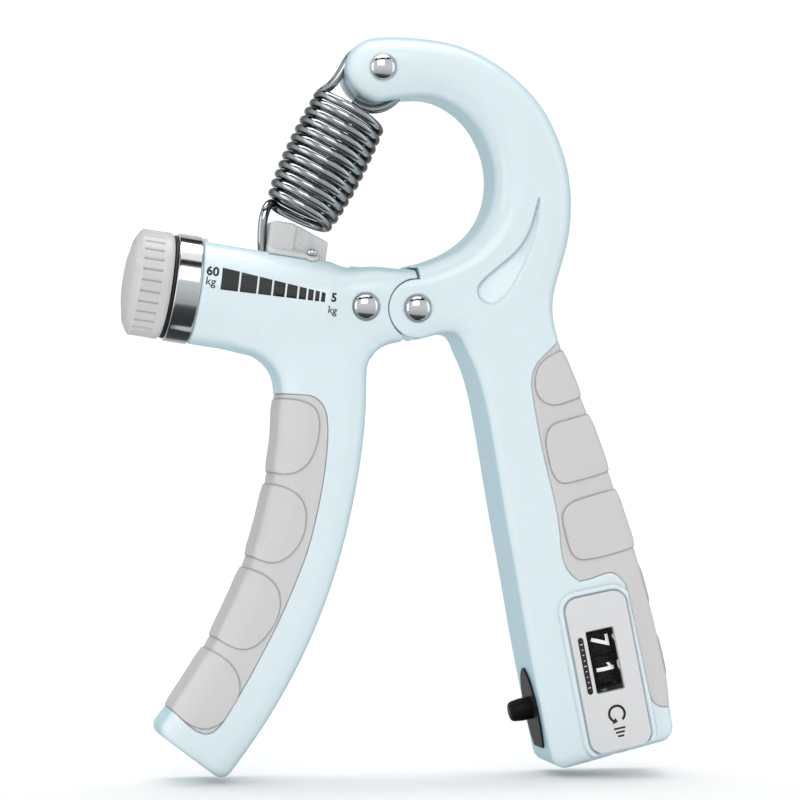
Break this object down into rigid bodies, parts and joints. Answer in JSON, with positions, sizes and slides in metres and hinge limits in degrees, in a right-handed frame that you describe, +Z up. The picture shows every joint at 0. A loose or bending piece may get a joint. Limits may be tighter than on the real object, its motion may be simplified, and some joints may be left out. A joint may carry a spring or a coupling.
{
  "type": "adjustable hand grip dynamometer",
  "caption": "Adjustable R-shaped hand gripper for grip training, with two pivoted handles, an extension spring, a tension knob on a barrel and a mechanical repetition counter.",
  "frame": {"origin": "on the ground under the middle of the bounding box, as the object stands on its two handle ends", "axes": "+Z up from the handle ends to the hook, +X from the tension knob towards the fixed handle, +Y from the counter's face to the back, along the hinge pin"},
  "size_m": [0.122, 0.024, 0.161],
  "materials": {
    "handle_plastic": "satin",
    "grip_soft": "soft matte",
    "chrome": "polished",
    "spring_chrome": "bright plated wire",
    "steel": "brushed",
    "brass": "turned",
    "knob_plastic": "satin",
    "carriage_plastic": "satin",
    "label_plastic": "satin",
    "lens": "clear",
    "black_plastic": "satin",
    "wheel_black": "satin",
    "white_plastic": "satin",
    "black_rubber": "matte",
    "print_black": "print"
  },
  "bodies": {
    "fixed_handle": {"right_handle_body": "handle_plastic", "right_grip": "grip_soft", "spring_top_pin": "chrome", "pivot_pin": "chrome", "counter_plate": "label_plastic", "counter_lens": "lens", "counter_frame": "black_plastic", "counter_shaft": "steel", "carry_shaft": "steel", "pawl_pin": "steel", "counter_screws": "steel", "plunger_plate": "black_plastic", "plunger_spring": "steel"},
    "moving_handle": {"left_handle_body": "handle_plastic", "left_grip": "grip_soft", "hinge_tongue": "steel", "barrel_rivet": "chrome", "barrel_ring": "chrome", "seal_ring": "black_rubber", "screw_bush": "brass", "scale_marks": "print_black"},
    "knob": {"tension_knob": "knob_plastic", "knob_cap": "knob_plastic", "lead_screw": "steel", "screw_clip": "steel"},
    "carriage": {"carriage": "carriage_plastic", "lead_nut": "brass", "anchor_pin": "steel", "pointer_screw": "steel"},
    "roller": {"spring_roller": "steel"},
    "spring": {"tension_spring": "spring_chrome"},
    "plunger": {"plunger": "black_plastic"},
    "pawl": {"ratchet_pawl": "steel"},
    "units": {"units_wheel": "wheel_black"},
    "tens": {"tens_wheel": "wheel_black"},
    "pinion": {"carry_pinion": "white_plastic"},
    "reset_washer": {"reset_washer": "steel"},
    "reset_knob": {"reset_knob": "black_plastic"}
  },
  "joints": [
    {"name": "squeeze", "type": "hinge", "parent": "fixed_handle", "child": "moving_handle", "pos_m": [0.00297, 0, 0.10181], "axis": [0, -1, 0], "range_deg": [0, 29], "deforming": ["tension_spring"]},
    {"name": "knob_turn", "type": "hinge", "parent": "moving_handle", "child": "knob", "pos_m": [-0.05145, 0, 0.10671], "axis": [-0.9895, 0, 0.1444], "range_deg": [-1080, 3000]},
    {"name": "carriage_slide", "type": "slide", "parent": "moving_handle", "child": "carriage", "axis": [-0.9895, 0, 0.1444], "range_m": [-0.0045, 0.0125]},
    {"name": "roller_turn", "type": "hinge", "parent": "fixed_handle", "child": "roller", "pos_m": [-0.00473, 0, 0.15381], "axis": [0, -1, 0], "range_deg": [0, 6.8]},
    {"name": "spring_swing", "type": "hinge", "parent": "roller", "child": "spring", "pos_m": [-0.00473, 0, 0.15381], "axis": [0, -1, 0], "range_deg": [-12.6, 4.6]},
    {"name": "plunger_press", "type": "slide", "parent": "fixed_handle", "child": "plunger", "axis": [0.981, 0, 0.1942], "range_m": [0, 0.003], "deforming": ["plunger_spring"]},
    {"name": "pawl_rock", "type": "hinge", "parent": "fixed_handle", "child": "pawl", "pos_m": [0.04097, 0.0014, 0.01902], "axis": [-0.1942, 0, 0.981], "range_deg": [0, 12.1]},
    {"name": "units_turn", "type": "hinge", "parent": "fixed_handle", "child": "units", "pos_m": [0.0448, -0.0049, 0.02334], "axis": [0.1942, 0, -0.981], "continuous": true},
    {"name": "tens_turn", "type": "hinge", "parent": "fixed_handle", "child": "tens", "pos_m": [0.0436, -0.0049, 0.02942], "axis": [0.1942, 0, -0.981], "continuous": true},
    {"name": "pinion_turn", "type": "hinge", "parent": "fixed_handle", "child": "pinion", "pos_m": [0.0442, 0.002, 0.02638], "axis": [0.1942, 0, -0.981], "continuous": true},
    {"name": "reset_push", "type": "slide", "parent": "fixed_handle", "child": "reset_washer", "axis": [-0.1942, 0, 0.981], "range_m": [0, 0.0012]},
    {"name": "reset_turn", "type": "hinge", "parent": "reset_washer", "child": "reset_knob", "pos_m": [0.04797, -0.0049, 0.00735], "axis": [0.1942, 0, -0.981], "continuous": true}
  ],
  "couplings": [
    {"joint": "carriage_slide", "follows": "knob_turn", "m_per_rad": 0.00023873},
    {"joint": "spring_swing", "follows": "knob_turn", "ratio": -0.00415},
    {"joint": "roller_turn", "follows": "squeeze", "ratio": 0.23226},
    {"joint": "pawl_rock", "follows": "plunger_press", "rad_per_m": 69.813},
    {"joint": "tens_turn", "follows": "units_turn", "ratio": 0.1},
    {"joint": "pinion_turn", "follows": "units_turn", "ratio": -0.25}
  ]
}
